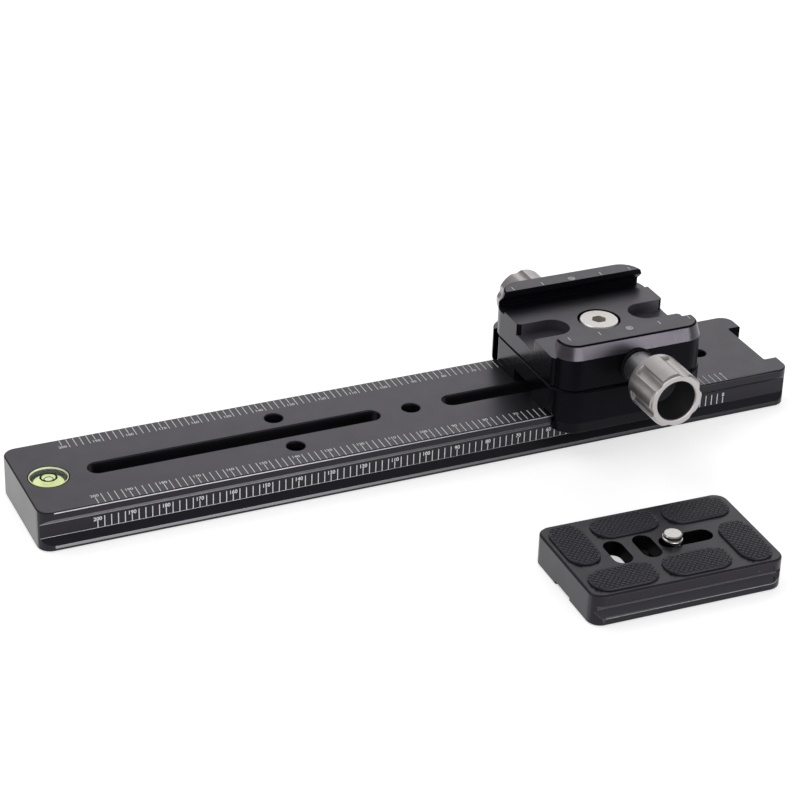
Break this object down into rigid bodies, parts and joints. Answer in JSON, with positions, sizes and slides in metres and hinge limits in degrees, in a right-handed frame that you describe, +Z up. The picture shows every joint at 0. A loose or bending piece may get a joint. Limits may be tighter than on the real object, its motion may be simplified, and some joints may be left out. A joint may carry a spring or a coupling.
{
  "type": "macro focusing rail",
  "caption": "Dovetail focusing rail with scales, long slots and a round level, a sliding double clamp with two fluted screw knobs, and a loose quick-release plate.",
  "frame": {"origin": "axis of the centre hole at the rail's flat underside, which is the middle of the rail", "axes": "+X along the rail from the level to the notched end, +Y across it away from the upper knob, +Z up"},
  "size_m": [0.2392, 0.1591, 0.0366],
  "materials": {
    "anodised": "satin black anodised",
    "knob_metal": "satin warm grey anodised",
    "collar_metal": "satin dark grey",
    "nickel": "bright nickel",
    "steel": "ground steel",
    "black_washer": "black",
    "pad_rubber": "black rubber with a diamond knurl",
    "acrylic": "clear acrylic",
    "liquid": "yellow-green spirit",
    "print_ink": "light grey printed marks",
    "bubble": "air"
  },
  "bodies": {
    "rail": {"rail_body": "anodised", "level_vial": "acrylic", "level_plug": "acrylic", "level_liquid": "liquid", "level_bubble": "bubble"},
    "carriage": {"lower_clamp_body": "anodised", "upper_clamp_body": "anodised", "joining_screw": "nickel", "seam_dowels": "steel", "upper_springs": "steel", "lower_springs": "steel"},
    "upper_jaw": {"upper_jaw": "anodised", "upper_guide_pins": "steel", "upper_knob_washer": "black_washer"},
    "upper_knob": {"upper_knob": "knob_metal", "upper_knob_collar": "collar_metal", "upper_knob_stud": "steel"},
    "lower_jaw": {"lower_jaw": "anodised", "lower_guide_pins": "steel", "lower_knob_washer": "black_washer"},
    "lower_knob": {"lower_knob": "knob_metal", "lower_knob_collar": "collar_metal", "lower_knob_stud": "steel"},
    "plate": {"plate_body": "anodised", "pad_rear_left": "pad_rubber", "pad_rear_right": "pad_rubber", "pad_front_left": "pad_rubber", "pad_front_right": "pad_rubber", "pad_left_end": "pad_rubber", "pad_right_end": "pad_rubber"},
    "camera_screw": {"camera_screw": "nickel"}
  },
  "joints": [
    {"name": "carriage_slide", "type": "slide", "parent": "rail", "child": "carriage", "axis": [1, 0, 0], "range_m": [-0.1558, 0.0338]},
    {"name": "upper_jaw_slide", "type": "slide", "parent": "carriage", "child": "upper_jaw", "axis": [0, -1, 0], "range_m": [-0.0001, 0.0055], "deforming": ["upper_springs"]},
    {"name": "upper_knob_turn", "type": "hinge", "parent": "upper_jaw", "child": "upper_knob", "pos_m": [0.061, -0.0245, 0.02805], "axis": [0, -1, 0], "range_deg": [-46, 2476]},
    {"name": "lower_jaw_slide", "type": "slide", "parent": "carriage", "child": "lower_jaw", "axis": [0, 1, 0], "range_m": [0, 0.002], "deforming": ["lower_springs"]},
    {"name": "lower_knob_turn", "type": "hinge", "parent": "lower_jaw", "child": "lower_knob", "pos_m": [0.061, 0.0223, 0.01605], "axis": [0, 1, 0], "range_deg": [0, 901]},
    {"name": "plate_lift", "type": "slide", "parent": "rail", "child": "plate", "axis": [0, 0, 1], "range_m": [0, 0.06]},
    {"name": "camera_screw_turn", "type": "hinge", "parent": "plate", "child": "camera_screw", "pos_m": [0.03832, -0.0895, 0.0097], "axis": [0, 0, 1], "continuous": true}
  ],
  "couplings": [
    {"joint": "upper_knob_turn", "follows": "upper_jaw_slide", "rad_per_m": 7854},
    {"joint": "lower_knob_turn", "follows": "lower_jaw_slide", "rad_per_m": 7854}
  ]
}
